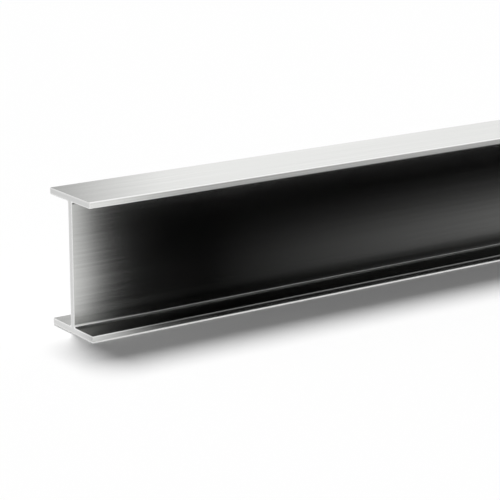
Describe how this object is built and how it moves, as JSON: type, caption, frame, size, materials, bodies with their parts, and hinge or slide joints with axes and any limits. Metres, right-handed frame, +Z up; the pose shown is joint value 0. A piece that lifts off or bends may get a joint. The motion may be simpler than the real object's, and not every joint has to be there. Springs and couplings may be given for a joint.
{
  "type": "h-beam",
  "caption": "Straight length of brushed steel H-beam: two flat flanges joined by an upright web, with rounded roots and square sawn ends.",
  "frame": {"origin": "middle of the lower flange's underside, on the floor, halfway along the beam", "axes": "+X along the beam, +Y across the flanges, +Z up from the lower flange to the upper one"},
  "size_m": [3, 0.11, 0.2],
  "materials": {
    "brushed_steel": "satin, brushed along the length, with sawn ends"
  },
  "bodies": {
    "root": {"h_beam": "brushed_steel"}
  },
  "joints": []
}
